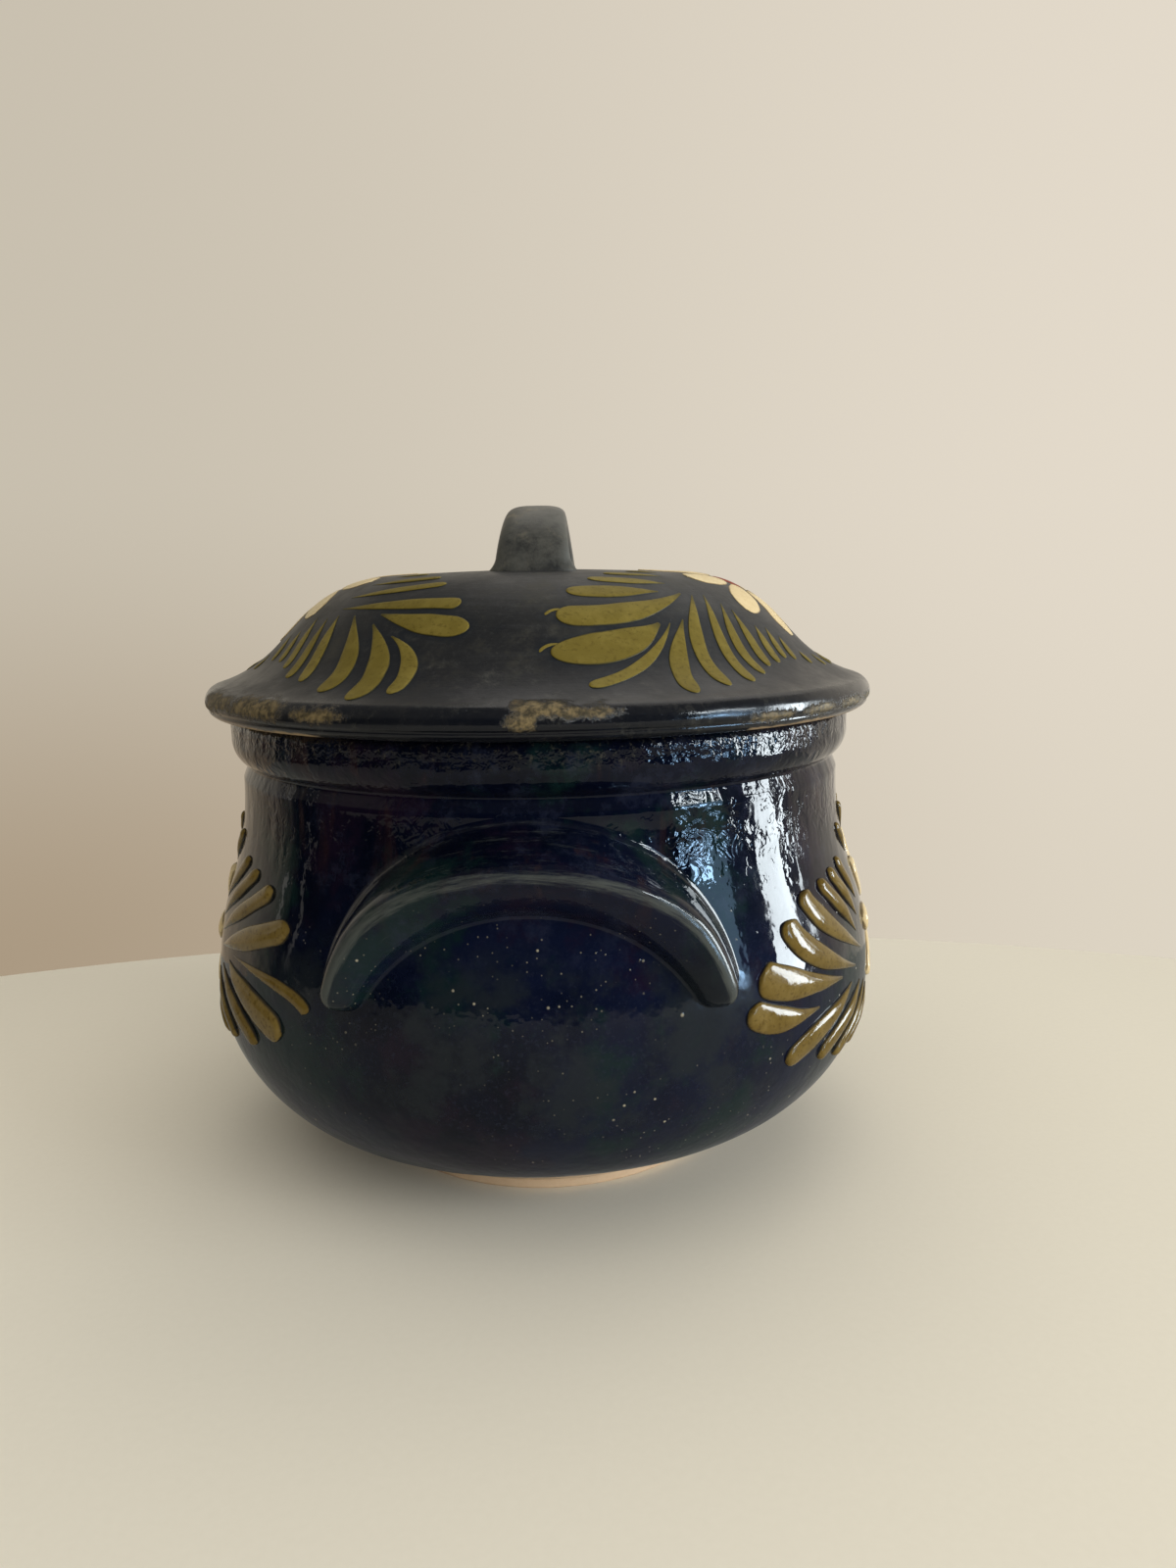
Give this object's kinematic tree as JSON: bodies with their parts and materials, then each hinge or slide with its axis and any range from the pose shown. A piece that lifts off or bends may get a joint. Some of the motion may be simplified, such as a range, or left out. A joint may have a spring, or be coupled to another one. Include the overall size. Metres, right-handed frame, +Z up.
{
  "type": "covered pot",
  "caption": "Round glazed ceramic covered pot: bellied wall, collared mouth, lug handles and a loose domed lid with a strap handle, trailed with slip leaf sprays.",
  "frame": {"origin": "centre of the pot's flat foot, on the surface it stands on", "axes": "+Z up along the turning axis, -Y out of the front lug handle towards the viewer, +X to the right"},
  "size_m": [0.2168, 0.22, 0.2037],
  "materials": {
    "blue_glaze_pot": "very glossy near-black navy glaze over clay, with orange-peel bumps",
    "blue_glaze_lid": "satin slate-blue glaze, worn to tan clay on the lid's edge",
    "olive_slip": "raised olive-ochre slip under glaze",
    "cream_slip": "raised cream slip under glaze",
    "red_slip": "raised red-brown slip under glaze"
  },
  "bodies": {
    "pot": {"pot_body": "blue_glaze_pot", "front_handle": "blue_glaze_pot", "rear_handle": "blue_glaze_pot", "pot_right_front_leaves": "olive_slip", "pot_right_rear_leaves": "olive_slip", "pot_right_petals": "cream_slip", "pot_right_flower_centre": "red_slip", "pot_left_front_leaves": "olive_slip", "pot_left_rear_leaves": "olive_slip", "pot_left_petals": "cream_slip", "pot_left_flower_centre": "red_slip"},
    "lid": {"lid_shell": "blue_glaze_lid", "lid_handle": "blue_glaze_lid", "lid_right_front_leaves": "olive_slip", "lid_right_rear_leaves": "olive_slip", "lid_right_petals": "cream_slip", "lid_right_flower_centre": "red_slip", "lid_left_front_leaves": "olive_slip", "lid_left_rear_leaves": "olive_slip", "lid_left_petals": "cream_slip", "lid_left_flower_centre": "red_slip"}
  },
  "joints": [
    {"name": "lid_lift", "type": "slide", "parent": "pot", "child": "lid", "axis": [0, 0, 1], "range_m": [0, 0.12]}
  ]
}
